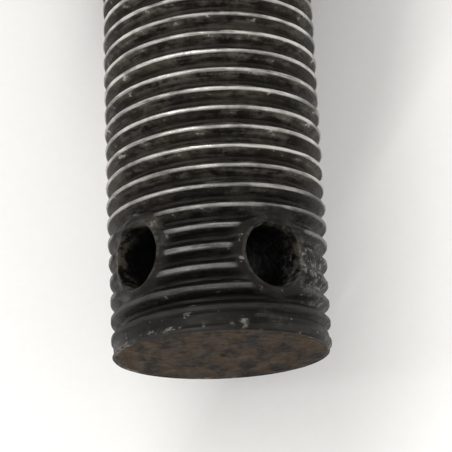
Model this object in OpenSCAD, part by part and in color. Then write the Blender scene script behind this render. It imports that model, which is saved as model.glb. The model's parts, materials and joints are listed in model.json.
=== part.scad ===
// Male rod end bearing with a greased spherical plain bearing.
// Millimetres. The origin is the centre of the ball. Z is the axis of the bore,
// and the threaded shank points along -Y.

/* [Shank] */
// Major diameter of the shank's thread (5/8 inch)
thread_d = 15.875; // [14:0.005:20]
// Pitch of the thread (18 threads to the inch)
thread_pitch = 1.4111; // [1.25:0.0001:1.8]
// Length of the thread, from the neck's shoulder to the tip
thread_len = 50.8; // [40:0.05:62]
// Distance from the ball's centre to the tip
eye_to_tip = 79.375; // [72:0.005:100]
// Diameter of the flat end face, inside the tip's chamfer
tip_face_d = 15; // [11:0.1:15.4]
// How far the neck's shoulder stands out over the thread
shoulder_step = 1.45; // [0.6:0.05:3]

/* [Split pin holes] */
// Diameter of the two holes that cross near the tip (11/64 inch)
pin_hole_d = 4.37; // [3:0.01:5]
// Distance of the first hole's centre from the tip
pin_hole_from_tip = 5.6; // [4.5:0.1:10]
// How much further from the tip the second hole is
pin_hole_stagger = 0.7; // [0:0.1:2]
// Angle of the first hole from +Z, towards +X
pin_hole_angle = 32; // [0:0.1:90]
// Angle between the two holes
pin_hole_spread = 82; // [60:1:90]
// Width of the countersink at each mouth
pin_hole_chamfer = 0.35; // [0.1:0.05:0.8]

/* [Ball] */
// Diameter of the bore
bore_d = 15.875; // [12:0.005:20]
// Width of the ball across its flat faces
ball_w = 15.875; // [14:0.005:20]
// Width of the flat ring around the bore
ball_land = 1.974; // [1.5:0.01:4]
// Chamfer at each end of the bore
bore_chamfer = 0.5; // [0.2:0.05:1]

/* [Outer ring] */
// Width of the outer ring
ring_w = 10; // [8.4:0.1:12.4]
// Wall of the outer ring at its middle
ring_wall = 2.33; // [2:0.01:4]
// Diameter of the grease holes in the ring and the ball
grease_hole_d = 1.6; // [1:0.1:2]

/* [Seals] */
// Width of each seal
seal_w = 1.15; // [0.8:0.05:1.6]
// Depth of each seal, outwards from the ball
seal_depth = 1.5; // [1:0.05:2]

/* [Circlips] */
// Thickness of each circlip
circlip_t = 1.05; // [0.8:0.05:1.5]
// Width of a circlip's band
circlip_band = 2.5; // [1.5:0.05:3]
// Depth of the circlip's groove
circlip_groove = 0.7; // [0.4:0.05:1]
// Radius of the plier holes
circlip_hole_r = 0.85; // [0.6:0.05:1]

/* [Eye] */
// Wall of the eye outside the ring
eye_wall = 7.1; // [6:0.05:10]
// Lip of the eye outside each circlip
eye_lip = 1.2; // [0.9:0.05:3]
// Radius of the eye's outer edges
eye_round = 3.8; // [1:0.1:5]

/* [Grease nipple] */
// Across flats of the nipple's hexagon
nipple_af = 7.94; // [7:0.01:10]
// Height of the hexagon
nipple_hex_h = 3.2; // [2.5:0.1:5]
// Diameter of the nipple's thread (1/4 inch)
nipple_thread_d = 6.35; // [5.5:0.01:7]
// Diameter of the nipple's head
nipple_head_d = 6.4; // [6:0.05:7]
// Height of the neck and head above the hexagon
nipple_head_h = 5.4; // [5:0.1:8]
// Diameter of the check ball
check_ball_d = 2.38; // [2:0.01:2.6]

/* [Jam nut and washer] */
// Across flats of the jam nut (15/16 inch)
nut_af = 23.81; // [23:0.01:32]
// Thickness of the jam nut (3/8 inch)
nut_h = 9.525; // [8:0.005:12]
// Gap between the neck's shoulder and the nut
nut_from_shoulder = 1.3; // [1:0.1:4]
// Width of the lock washer's section
washer_band = 5.3; // [3.5:0.05:7]
// Thickness of the lock washer
washer_t = 3.96; // [2.5:0.01:5]

/* [Hidden] */
$fn = 96;

// Clearances
ball_clear = 0.05;        // between the ball and the ring, and the ball and the seals
ring_clear = 0.03;        // between the ring and the eye, all round
circlip_clear = 0.05;     // on each side of a circlip, and under its rim
seal_clear = 0.05;        // between a seal and its groove
nut_clear = 0.06;         // between the thread's crests and the nut
washer_clear = 0.25;      // between the thread's crests and the washer
nipple_clear = 0.04;      // between the nipple's thread and its hole
face_gap = 0.05;          // between the washer and the nut
check_clear = 0.03;       // between the check ball and its seat

// Thread form, 60 degrees
thread_r = thread_d / 2;
thread_depth = 0.6134 * thread_pitch;
root_r = thread_r - thread_depth;
crest_land = thread_pitch / 8;
flank_run = thread_depth * tan(30);
first_crest = 1.7;        // from the tip to the middle of the first crest
relief_w = 1.3;           // thread relief at the shoulder

// Places along the shank, measured from the ball's centre
shoulder_at = eye_to_tip - thread_len;
shoulder_r = thread_r + shoulder_step;
nut_at = shoulder_at + nut_from_shoulder;
washer_at = nut_at + nut_h + face_gap;
free_thread_at = washer_at + washer_t;
pin_hole_r = pin_hole_d / 2;
first_hole_at = eye_to_tip - pin_hole_from_tip;
second_hole_at = first_hole_at - pin_hole_stagger;
crossing_r = pin_hole_r + pin_hole_stagger / 2 + 0.3; // clears the burr where the holes cross

// Ball, ring and seals
bore_r = bore_d / 2;
ball_face_r = bore_r + ball_land;
ball_r = sqrt(pow(ball_face_r, 2) + pow(ball_w / 2, 2));
race_r = ball_r + ball_clear;
ring_r = race_r + ring_wall;
grease_groove_w = 2.4;
grease_groove_depth = 0.5;
ring_edge = 0.5;          // chamfer on the ring's outer edges
seal_inset = 0.1;         // from the ring's face to the seal
seal_in = ring_w / 2 - seal_inset - seal_w;
seal_floor_r = sqrt(pow(race_r, 2) - pow(seal_in, 2)) + seal_depth;

// Eye and circlips
eye_bore_r = ring_r + ring_clear;
groove_w = circlip_t + 2 * circlip_clear;
groove_r = eye_bore_r + circlip_groove;
eye_w = ring_w + 2 * (groove_w + eye_lip);
eye_r = eye_bore_r + eye_wall;
circlip_r = groove_r - circlip_clear;
circlip_in_r = circlip_r - circlip_band;
lug_in_r = circlip_in_r - 0.75;
lug_angle = 9;            // half the gap between the lugs
lug_span = 12;            // angle that each lug covers

// Neck
flare_step = 3.6;         // how far the flare stands out over the neck
flare_r = shoulder_r + flare_step;
flare_at = eye_r - 5;
neck_blend = 0.66 * (shoulder_at - flare_at); // radius of the blend between the flare and the neck
blend_angle = acos(1 - flare_step / neck_blend);
blend_steps = 8;

// Nipple, measured up from its seat on the eye's crown
seat_depth = 0.7;
seat_at = eye_r - seat_depth;
seat_r = nipple_af / 2 / cos(30) + 0.6;
nipple_thread_r = nipple_thread_d / 2 - nipple_clear;
nipple_thread_len = eye_wall - seat_depth - 1.2;
nipple_bore_r = 1.4;
check_r = check_ball_d / 2;
mouth_r = 0.8 * check_r;
mouth_depth = 0.55;
mouth_flare = 0.45;       // how much wider the mouth is at its face
nipple_tip_at = nipple_hex_h + nipple_head_h;
check_at = nipple_tip_at - mouth_depth - sqrt(pow(check_r, 2) - pow(mouth_r, 2)) - check_clear;
stop_lip_h = 0.6;         // crimped lip that holds the spring in
spring_wire_r = 0.2;
spring_r = 0.95;          // to the middle of the wire
spring_turns = 7;
spring_sides = 6;
spring_steps = 14;        // steps in one turn

steel = [0.72, 0.73, 0.75];
black_oxide = [0.16, 0.15, 0.15];
zinc = [0.70, 0.68, 0.60];
seal_rubber = [0.10, 0.10, 0.11];

// Local +Z runs down the shank, from the ball's centre to the tip.
module along_shank() rotate([90, 0, 0]) children();

// Local +Z runs out of the eye's crown, opposite to the shank.
module out_of_crown() rotate([-90, 0, 0]) children();

// A copy on each side of the eye.
module both_sides() {
    children();
    mirror([0, 0, 1]) children();
}

// Right half of a circle about the origin, for revolving into a sphere.
module half_disc(r) intersection() {
    circle(r);
    translate([0, -r]) square([r, 2 * r]);
}

// A rectangle from radius a to radius b, from height lo to height hi.
module section(a, b, lo, hi) translate([a, lo]) square([b - a, hi - lo]);

// ---- Rod body: eye, neck and shank in one forging ----

// Outline points of one thread crest centred at height z. Under the nut the crest is sharp.
function crest(z, land) = let (reach = land / 2 + flank_run) land > 0
    ? [[root_r, z - reach], [thread_r, z - land / 2], [thread_r, z + land / 2], [root_r, z + reach]]
    : [[root_r, z - reach], [thread_r, z], [root_r, z + reach]];

crest_count = 1 + floor((thread_len - relief_w - first_crest - flank_run) / thread_pitch);
crest_heights = [
    for (k = [crest_count - 1 : -1 : 0]) eye_to_tip - first_crest - k * thread_pitch
];
shank_outline = concat(
    [[0, flare_at], [root_r, flare_at]],
    [
        for (z = crest_heights)
            each crest(z, z - thread_pitch / 2 < free_thread_at ? 0 : crest_land)
    ],
    [[root_r, eye_to_tip], [0, eye_to_tip]]
);

module shank() along_shank() rotate_extrude() intersection() {
    polygon(shank_outline);
    polygon([
        [0, 0], [thread_r + 1, 0], [thread_r + 1, eye_to_tip - thread_r - 1 + tip_face_d / 2],
        [tip_face_d / 2, eye_to_tip], [0, eye_to_tip]
    ]);
}

module eye_blank() rotate_extrude() {
    section(0, eye_r - eye_round, -eye_w / 2, eye_w / 2);
    section(0, eye_r, -eye_w / 2 + eye_round, eye_w / 2 - eye_round);
    for (side = [-1, 1]) translate([eye_r - eye_round, side * (eye_w / 2 - eye_round)]) circle(eye_round);
}

// The neck flares into the eye across the width, and thins to the eye's width.
module neck() intersection() {
    along_shank() rotate_extrude() polygon(concat(
        [[0, ring_r * 0.6], [flare_r, ring_r * 0.6]],
        [
            for (i = [blend_steps : -1 : 0]) let (t = blend_angle * i / blend_steps)
                [shoulder_r + neck_blend * (1 - cos(t)), flare_at + neck_blend * (1 - sin(t))]
        ],
        [[shoulder_r, shoulder_at], [0, shoulder_at]]
    ));
    rotate([90, 0, 90]) linear_extrude(3 * flare_r, center = true) polygon([
        [-ring_r * 0.6, -eye_w / 2], [1 - eye_r, -eye_w / 2],
        [-shoulder_at + 1.5, -shoulder_r - 0.01], [-shoulder_at - 1, -shoulder_r - 0.01],
        [-shoulder_at - 1, shoulder_r + 0.01], [-shoulder_at + 1.5, shoulder_r + 0.01],
        [1 - eye_r, eye_w / 2], [-ring_r * 0.6, eye_w / 2]
    ]);
}

module eye_bore() {
    cylinder(r = eye_bore_r, h = eye_w + 2, center = true);
    both_sides() translate([0, 0, ring_w / 2]) cylinder(r = groove_r, h = groove_w);
}

// One split pin hole, with its countersinks, across the shank at a distance from the ball's centre.
module pin_hole(at, angle) along_shank() translate([0, 0, at]) rotate([0, 0, -angle]) rotate([90, 0, 0]) {
    cylinder(r = pin_hole_r, h = 3 * thread_r, center = true);
    both_sides() translate([0, 0, root_r])
        cylinder(r1 = pin_hole_r, r2 = pin_hole_r + 2 * pin_hole_chamfer, h = 2 * pin_hole_chamfer);
    both_sides() translate([0, 0, root_r + 2 * pin_hole_chamfer])
        cylinder(r = pin_hole_r + 2 * pin_hole_chamfer, h = thread_r);
}

module nipple_hole() out_of_crown() {
    translate([0, 0, seat_at]) cylinder(r = seat_r, h = 5);
    translate([0, 0, seat_at - nipple_thread_len - 0.3])
        cylinder(r = nipple_thread_d / 2, h = nipple_thread_len + 1);
    cylinder(r = 1.2, h = seat_at);
}

module rod_body() color(black_oxide) difference() {
    union() {
        eye_blank();
        neck();
        shank();
    }
    eye_bore();
    nipple_hole();
    pin_hole(first_hole_at, pin_hole_angle);
    pin_hole(second_hole_at, pin_hole_angle - pin_hole_spread);
    along_shank() translate([0, 0, (first_hole_at + second_hole_at) / 2]) sphere(crossing_r);
}

// ---- Bearing ----

module grease_holes(from_r, to_r) for (side = [0, 180]) rotate([0, 0, side]) rotate([0, 90, 0])
    translate([0, 0, from_r]) cylinder(r = grease_hole_d / 2, h = to_r - from_r);

module outer_ring() color(steel) difference() {
    rotate_extrude() difference() {
        polygon([
            [0, -ring_w / 2], [ring_r - ring_edge, -ring_w / 2], [ring_r, -ring_w / 2 + ring_edge],
            [ring_r, ring_w / 2 - ring_edge], [ring_r - ring_edge, ring_w / 2], [0, ring_w / 2]
        ]);
        half_disc(race_r);
        section(0, race_r + grease_groove_depth, -grease_groove_w / 2, grease_groove_w / 2);
        section(ring_r - grease_groove_depth, ring_r + 1, -grease_groove_w / 2, grease_groove_w / 2);
        section(0, seal_floor_r, seal_in, ring_w);
        section(0, seal_floor_r, -ring_w, -seal_in);
    }
    grease_holes(race_r - 1, ring_r + 1);
}

// The seal fills its groove and follows the ball on its inner side.
module seal() color(seal_rubber) rotate_extrude() difference() {
    section(ball_face_r, seal_floor_r - seal_clear, seal_in + seal_clear, seal_in + seal_w);
    half_disc(ball_r + ball_clear);
}

module seal_front() seal();
module seal_rear() mirror([0, 0, 1]) seal();

module swivel_ball() color(steel) difference() {
    rotate_extrude() difference() {
        intersection() {
            half_disc(ball_r);
            section(bore_r, ball_r, -ball_w / 2, ball_w / 2);
        }
        for (side = [-1, 1]) polygon([
            [bore_r - 1, side * (ball_w / 2 - bore_chamfer - 1)],
            [bore_r - 1, side * (ball_w / 2 + 1)],
            [bore_r + bore_chamfer + 1, side * (ball_w / 2 + 1)]
        ]);
        section(ball_r - grease_groove_depth, ball_r + 1, -grease_groove_w / 2, grease_groove_w / 2);
        section(0, bore_r + grease_groove_depth, -grease_groove_w / 2, grease_groove_w / 2);
    }
    grease_holes(bore_r - 1, ball_r + 1);
}

// ---- Circlips: one in each groove of the eye, with its lugs towards the crown ----

module wedge(from_angle, to_angle, r, h) linear_extrude(h) polygon([
    [0, 0], for (a = [from_angle, (from_angle + to_angle) / 2, to_angle]) r * [cos(a), sin(a)]
]);

lug_hole_r = (lug_in_r + circlip_r) / 2 - 0.4;
lug_end = lug_angle + lug_span;

module circlip() color(steel) translate([0, 0, ring_w / 2 + circlip_clear]) difference() {
    union() {
        difference() {
            cylinder(r = circlip_r, h = circlip_t);
            translate([0, 0, -1]) cylinder(r = circlip_in_r, h = circlip_t + 2);
        }
        intersection() {
            difference() {
                cylinder(r = circlip_r - 0.2, h = circlip_t);
                translate([0, 0, -1]) cylinder(r = lug_in_r, h = circlip_t + 2);
            }
            wedge(90 - lug_end, 90 + lug_end, 2 * circlip_r, circlip_t);
        }
    }
    translate([0, 0, -1]) wedge(90 - lug_angle, 90 + lug_angle, 2 * circlip_r, circlip_t + 2);
    for (side = [-1, 1]) rotate([0, 0, 90 + side * (lug_angle + lug_span / 2)])
        translate([lug_hole_r, 0, -1]) cylinder(r = circlip_hole_r, h = circlip_t + 2);
}

module circlip_front() circlip();
module circlip_rear() mirror([0, 0, 1]) circlip();

// ---- Grease nipple, with its check ball and spring ----

module nipple_seat() out_of_crown() translate([0, 0, seat_at]) children();

module grease_nipple() color(zinc) nipple_seat() difference() {
    union() {
        intersection() {
            cylinder(r = nipple_af / 2 / cos(30), h = nipple_hex_h, $fn = 6);
            cylinder(r1 = nipple_af / 2 + 0.3, r2 = nipple_af / 2 + 0.3 + nipple_hex_h, h = nipple_hex_h);
            cylinder(r1 = nipple_af / 2 + 0.3 + nipple_hex_h, r2 = nipple_af / 2 + 0.3, h = nipple_hex_h);
        }
        translate([0, 0, -nipple_thread_len]) cylinder(r = nipple_thread_r, h = nipple_thread_len);
        rotate_extrude() polygon([
            [0, nipple_hex_h], [nipple_head_d * 0.44, nipple_hex_h],
            [nipple_head_d * 0.38, nipple_tip_at - 3.6], [nipple_head_d * 0.38, nipple_tip_at - 3.0],
            [nipple_head_d / 2, nipple_tip_at - 1.9], [nipple_head_d / 2, nipple_tip_at - 1.4],
            [nipple_head_d * 0.3, nipple_tip_at], [0, nipple_tip_at]
        ]);
    }
    rotate_extrude() {
        section(0, nipple_bore_r, stop_lip_h - nipple_thread_len, check_at);
        section(0, 0.8, -nipple_thread_len - 1, 0);
        polygon([
            [0, check_at - 0.01], [nipple_bore_r, check_at - 0.01],
            [mouth_r, nipple_tip_at - mouth_depth], [mouth_r + mouth_flare, nipple_tip_at],
            [mouth_r + mouth_flare, nipple_tip_at + 1], [0, nipple_tip_at + 1]
        ]);
    }
}

module check_ball() color(steel) nipple_seat() translate([0, 0, check_at])
    rotate_extrude() half_disc(check_r);

// The spring stands on the crimped lip and holds the check ball up.
spring_foot = stop_lip_h - nipple_thread_len + spring_wire_r + 0.02;
spring_top = check_at - check_r - spring_wire_r - 0.02;
spring_rings = spring_turns * spring_steps;

function spring_centre(i) = let (a = 360 * i / spring_steps, t = i / spring_rings)
    [spring_r * cos(a), spring_r * sin(a), spring_foot + t * (spring_top - spring_foot)];

function spring_point(i, j) =
    let (a = 360 * i / spring_steps, b = 360 * j / spring_sides)
    spring_centre(i) + spring_wire_r * [cos(b) * cos(a), cos(b) * sin(a), sin(b)];

module check_spring() color(steel) nipple_seat() polyhedron(
    points = [for (i = [0 : spring_rings], j = [0 : spring_sides - 1]) spring_point(i, j)],
    faces = concat(
        [
            for (i = [0 : spring_rings - 1], j = [0 : spring_sides - 1])
                let (a = i * spring_sides + j, b = i * spring_sides + (j + 1) % spring_sides)
                [a, b, b + spring_sides, a + spring_sides]
        ],
        [[for (j = [spring_sides - 1 : -1 : 0]) j]],
        [[for (j = [0 : spring_sides - 1]) spring_rings * spring_sides + j]]
    )
);

// ---- Jam nut and lock washer ----

nut_bore_r = thread_r + nut_clear;
nut_edge_r = nut_af / 2 - 0.1;

module jam_nut() color(black_oxide) along_shank() translate([0, 0, nut_at]) difference() {
    intersection() {
        cylinder(r = nut_af / 2 / cos(30), h = nut_h, $fn = 6);
        rotate_extrude() polygon([
            [0, 0], [nut_edge_r, 0], [nut_edge_r + 4, 4 * tan(30)],
            [nut_edge_r + 4, nut_h - 4 * tan(30)], [nut_edge_r, nut_h], [0, nut_h]
        ]);
    }
    translate([0, 0, -1]) cylinder(r = nut_bore_r, h = nut_h + 2);
    translate([0, 0, -0.01]) cylinder(r1 = nut_bore_r + 0.6, r2 = nut_bore_r, h = 0.6);
    translate([0, 0, nut_h - 0.59]) cylinder(r1 = nut_bore_r, r2 = nut_bore_r + 0.6, h = 0.6);
}

washer_in_r = thread_r + washer_clear;
washer_slit = 0.5;        // half the width of the washer's slit

module lock_washer() color(black_oxide) along_shank() translate([0, 0, washer_at]) difference() {
    cylinder(r = washer_in_r + washer_band, h = washer_t);
    translate([0, 0, -1]) cylinder(r = washer_in_r, h = washer_t + 2);
    translate([0, 0, washer_t / 2]) rotate([60, 0, 0]) translate([washer_in_r + washer_band / 2, 0, 0])
        cube([washer_band + 2, 2 * washer_slit, 4 * washer_t], center = true);
}

rod_body();
outer_ring();
seal_front();
seal_rear();
circlip_front();
circlip_rear();
swivel_ball();
grease_nipple();
check_ball();
check_spring();
lock_washer();
jam_nut();
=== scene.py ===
import json
import math
import bmesh
import bpy
import numpy as np
from mathutils import Matrix, Vector, noise


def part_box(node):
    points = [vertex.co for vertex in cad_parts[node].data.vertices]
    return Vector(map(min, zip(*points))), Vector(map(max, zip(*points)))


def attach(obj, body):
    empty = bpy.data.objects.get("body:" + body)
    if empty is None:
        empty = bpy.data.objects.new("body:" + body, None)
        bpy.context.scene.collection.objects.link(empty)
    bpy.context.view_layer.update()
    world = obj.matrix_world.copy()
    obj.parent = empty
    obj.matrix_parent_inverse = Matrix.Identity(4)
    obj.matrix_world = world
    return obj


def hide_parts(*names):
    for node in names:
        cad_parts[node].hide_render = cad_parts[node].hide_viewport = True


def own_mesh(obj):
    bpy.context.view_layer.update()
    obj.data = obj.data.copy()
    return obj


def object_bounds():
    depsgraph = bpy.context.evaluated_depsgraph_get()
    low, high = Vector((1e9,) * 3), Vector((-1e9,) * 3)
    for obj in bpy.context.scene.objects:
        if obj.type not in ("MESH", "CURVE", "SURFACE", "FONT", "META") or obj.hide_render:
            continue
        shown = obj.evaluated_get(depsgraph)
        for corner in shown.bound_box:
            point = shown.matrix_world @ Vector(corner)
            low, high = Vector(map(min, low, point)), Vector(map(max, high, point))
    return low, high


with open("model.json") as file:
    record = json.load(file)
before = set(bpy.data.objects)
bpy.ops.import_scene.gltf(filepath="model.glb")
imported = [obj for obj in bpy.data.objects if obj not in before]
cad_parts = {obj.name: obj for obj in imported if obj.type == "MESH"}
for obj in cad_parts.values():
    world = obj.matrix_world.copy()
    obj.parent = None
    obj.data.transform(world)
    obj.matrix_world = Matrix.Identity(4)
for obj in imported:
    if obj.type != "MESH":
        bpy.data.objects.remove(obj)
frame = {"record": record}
cad_low, cad_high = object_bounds()

MM = 0.001
TURN = 2 * math.pi

# Sizes in metres, most of them read from the imported model
mounts = {mount["name"]: mount for mount in frame["record"]["mounts"]}
coupling = frame["record"]["behaviour"]["couplings"][0]

thread_r = mounts["shank_thread"]["dims"]["r_mm"] * MM
thread_pitch = coupling["ratio"] * TURN
thread_depth = 0.6134 * thread_pitch
root_r = thread_r - thread_depth
tip_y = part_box("rod_body")[0].y
eye_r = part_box("rod_body")[1].x
neck_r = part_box("rod_body")[1].z
bore_r = mounts["ball_bore"]["dims"]["r_mm"] * MM
ball_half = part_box("swivel_ball")[1].z
ball_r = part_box("swivel_ball")[1].x
ring_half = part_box("outer_ring")[1].z
ring_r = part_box("outer_ring")[1].x
race_r = ball_r + 0.05 * MM
circlip_low, circlip_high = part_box("circlip_front")
nut_low, nut_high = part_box("jam_nut")
washer_low, washer_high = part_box("lock_washer")
nipple_low, nipple_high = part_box("grease_nipple")
check_low, check_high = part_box("check_ball")
spring_low, spring_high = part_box("check_spring")
pin_holes = [mounts["split_pin_hole_a"], mounts["split_pin_hole_b"]]
pin_hole_r = pin_holes[0]["dims"]["r_mm"] * MM
shoulder_y = nut_high.y + 1.3 * MM
eye_bore_r = ring_r + 0.03 * MM
eye_half = circlip_high.z + 1.25 * MM
crest_from_tip = 1.7 * MM
tip_face_r = 7.5 * MM
grease_groove_half = 1.2 * MM
grease_groove_depth = 0.5 * MM
seal_seat_z = ring_half - 1.25 * MM
nipple_seat_y = eye_r - 0.7 * MM
nipple_stem_r = 3.12 * MM


# ---- Meshes ----


def piece_from(name, points, faces):
    """A mesh piece from a list of points and faces, with its faces turned outwards."""
    mesh = bpy.data.meshes.new(name)
    mesh.from_pydata([tuple(p) for p in points], [], [tuple(f) for f in faces])
    mesh.validate()
    work = bmesh.new()
    work.from_mesh(mesh)
    bmesh.ops.recalc_face_normals(work, faces=work.faces)
    if work.calc_volume(signed=True) < 0:
        bmesh.ops.reverse_faces(work, faces=work.faces)
    work.to_mesh(mesh)
    work.free()
    piece = bpy.data.objects.new(name, mesh)
    bpy.context.scene.collection.objects.link(piece)
    return piece


def settle(piece):
    """Applies the piece's modifiers."""
    bpy.context.view_layer.update()
    evaluated = piece.evaluated_get(bpy.context.evaluated_depsgraph_get())
    mesh = bpy.data.meshes.new_from_object(evaluated)
    old = piece.data
    piece.modifiers.clear()
    piece.data = mesh
    bpy.data.meshes.remove(old)


def combine(piece, tool, operation):
    """Cuts piece with tool, joins them or keeps what they share, and removes the tool."""
    change = piece.modifiers.new(operation, "BOOLEAN")
    change.operation = operation
    change.solver = "MANIFOLD"
    change.object = tool
    settle(piece)
    bpy.data.objects.remove(tool)
    return piece


def round_edges(piece, width, segments=2, angle=35):
    """A small bevel on every edge sharper than the angle."""
    bevel = piece.modifiers.new("bevel", "BEVEL")
    bevel.width = width
    bevel.segments = segments
    bevel.limit_method = "ANGLE"
    bevel.angle_limit = math.radians(angle)
    bevel.harden_normals = False
    settle(piece)


def shade(piece, angle=30):
    """Smooth shading that breaks at edges sharper than the angle."""
    mesh = piece.data
    mesh.polygons.foreach_set("use_smooth", [True] * len(mesh.polygons))
    mesh.set_sharp_from_angle(angle=math.radians(angle))


def lathe(name, outline, steps=128, wobble=None):
    """Turns an outline of (radius, height) points about Z.

    The outline starts and ends on the axis, or is a closed loop. wobble(radius, height, angle) gives a point's
    own radius and height.
    """
    points, rings, faces = [], [], []
    for radius, height in outline:
        if radius < 1e-9:
            rings.append([len(points)] * steps)
            points.append((0, 0, height))
            continue
        ring = []
        for k in range(steps):
            angle = TURN * k / steps
            r, h = (radius, height) if wobble is None else wobble(radius, height, angle)
            ring.append(len(points))
            points.append((r * math.cos(angle), r * math.sin(angle), h))
        rings.append(ring)
    open_ended = outline[0][0] < 1e-9 and outline[-1][0] < 1e-9
    for a in range(len(rings) - (1 if open_ended else 0)):
        lower, upper = rings[a], rings[(a + 1) % len(rings)]
        for k in range(steps):
            n = (k + 1) % steps
            face = []
            for corner in (lower[k], lower[n], upper[n], upper[k]):
                if corner not in face:
                    face.append(corner)
            if len(face) > 2:
                faces.append(face)
    return piece_from(name, points, faces)


def place(piece, matrix):
    piece.data.transform(matrix)
    return piece


def along_shank():
    """Turns +Z to point down the shank, towards the tip."""
    return Matrix.Rotation(math.radians(90), 4, "X")


def out_of_crown(distance=0.0):
    """Turns +Z to point out of the eye's crown, and moves along it."""
    return Matrix.Translation((0, distance, 0)) @ Matrix.Rotation(math.radians(-90), 4, "X")


def arc(cx, cy, r, start, end, steps):
    """Points of an arc in an outline, with angles in degrees."""
    return [
        (cx + r * math.cos(math.radians(start + (end - start) * i / steps)),
         cy + r * math.sin(math.radians(start + (end - start) * i / steps)))
        for i in range(steps + 1)
    ]


def prism(name, outline, low, high):
    """A flat outline of (x, y) points, raised from z low to z high."""
    n = len(outline)
    points = [(x, y, z) for z in (low, high) for x, y in outline]
    faces = [[i, (i + 1) % n, n + (i + 1) % n, n + i] for i in range(n)]
    faces += [list(range(n))[::-1], list(range(n, 2 * n))]
    return piece_from(name, points, faces)


def polar(r, angle):
    return r * math.cos(angle), r * math.sin(angle)


def mirrored_outline(half):
    """An outline of (radius, height) points with the same points below."""
    return [(r, -h) for r, h in half[::-1]] + half


def push_out(piece, amount):
    """Moves each point along its normal by what amount(x, y, z) gives."""
    mesh = piece.data
    count = len(mesh.vertices)
    places, normals = np.empty(count * 3), np.empty(count * 3)
    mesh.vertices.foreach_get("co", places)
    mesh.vertex_normals.foreach_get("vector", normals)
    places, normals = places.reshape(-1, 3), normals.reshape(-1, 3)
    heights = np.array([amount(x, y, z) for x, y, z in places])
    mesh.vertices.foreach_set("co", (places + normals * heights[:, None]).ravel())
    mesh.update()


def smooth_step(low, high, value):
    t = np.clip((value - low) / (high - low), 0, 1)
    return t * t * (3 - 2 * t)


def rough(x, y, z, size, seed=0):
    """Smooth noise from -1 to 1, with lumps of the given size."""
    return noise.noise(Vector((x / size + seed * 17.3, y / size, z / size)))


# ---- The thread ----

# Place in one pitch from the middle of a crest, and height from root (0) to crest (1)
THREAD_FORM = [
    (0.0, 1.0), (0.05, 0.985), (0.09, 0.92), (0.17, 0.69), (0.26, 0.42), (0.34, 0.20),
    (0.42, 0.055), (0.5, 0.02), (0.58, 0.055), (0.66, 0.20), (0.74, 0.42), (0.83, 0.69),
    (0.91, 0.92), (0.95, 0.985),
]


def thread_rod(name, low_y, high_y, grow=0.0, columns=136, wear=None):
    """A rod with a right-hand helical thread along the shank's axis.

    grow adds to its radius for a tapped hole, and wear(r, height, angle, along) moves each point.
    """
    rows = len(THREAD_FORM)
    first = math.floor((low_y - tip_y - crest_from_tip) / thread_pitch) - 2
    last = math.ceil((high_y - tip_y - crest_from_tip) / thread_pitch) + 1
    levels = (last - first) * rows + 1
    points = []
    for k in range(columns):
        angle = TURN * k / columns
        for q in range(levels):
            share, height = THREAD_FORM[q % rows]
            along = crest_from_tip + (first + q // rows + share + k / columns) * thread_pitch
            r = root_r + thread_depth * height
            if wear is not None:
                r, along = wear(r, height, angle, along)
            points.append(((r + grow) * math.sin(angle), tip_y + along, (r + grow) * math.cos(angle)))
    faces = []
    for k in range(columns):
        shift = rows if k == columns - 1 else 0
        here, there = k * levels, ((k + 1) % columns) * levels
        for q in range(levels - 1):
            if q + 1 + shift < levels:
                faces.append([here + q, here + q + 1, there + q + 1 + shift, there + q + shift])
    start = [k * levels for k in range(columns)] + list(range(rows, 0, -1))
    end_columns = [k * levels + levels - 1 for k in range(columns)]
    last_column = (columns - 1) * levels
    end = end_columns + list(range(last_column + levels - 2, last_column + levels - 2 - rows, -1))
    spare = 6 * MM
    for loop, y in ((start, low_y - spare), (end, high_y + spare)):
        centre = len(points)
        points.append((0, y, 0))
        for a in range(len(loop)):
            faces.append([loop[a], loop[(a + 1) % len(loop)], centre])
    return piece_from(name, points, faces)


def pin_hole_direction(hole):
    return Vector(hole["axis"]).normalized()


def on_shank(degrees, from_tip):
    """A place on the thread, at an angle from +Z towards +X and a distance from the tip."""
    angle = math.radians(degrees)
    return Vector((thread_r * math.sin(angle), tip_y + from_tip, thread_r * math.cos(angle)))


# Where the thread is battered, and how much is worn off the crests near the tip
BATTERED_SPOT = on_shank(66, 5.0 * MM)
BLUNT_BY = 0.16 * MM


def mouth_distance(x, y, z):
    """How far a point on the shank lies from the nearest mouth of a split pin hole."""
    best = 1.0
    for hole in pin_holes:
        for sign in (-1, 1):
            mouth = pin_hole_direction(hole) * thread_r * sign + Vector(hole["pos_m"])
            best = min(best, (Vector((x, y, z)) - mouth).length)
    return best


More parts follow.
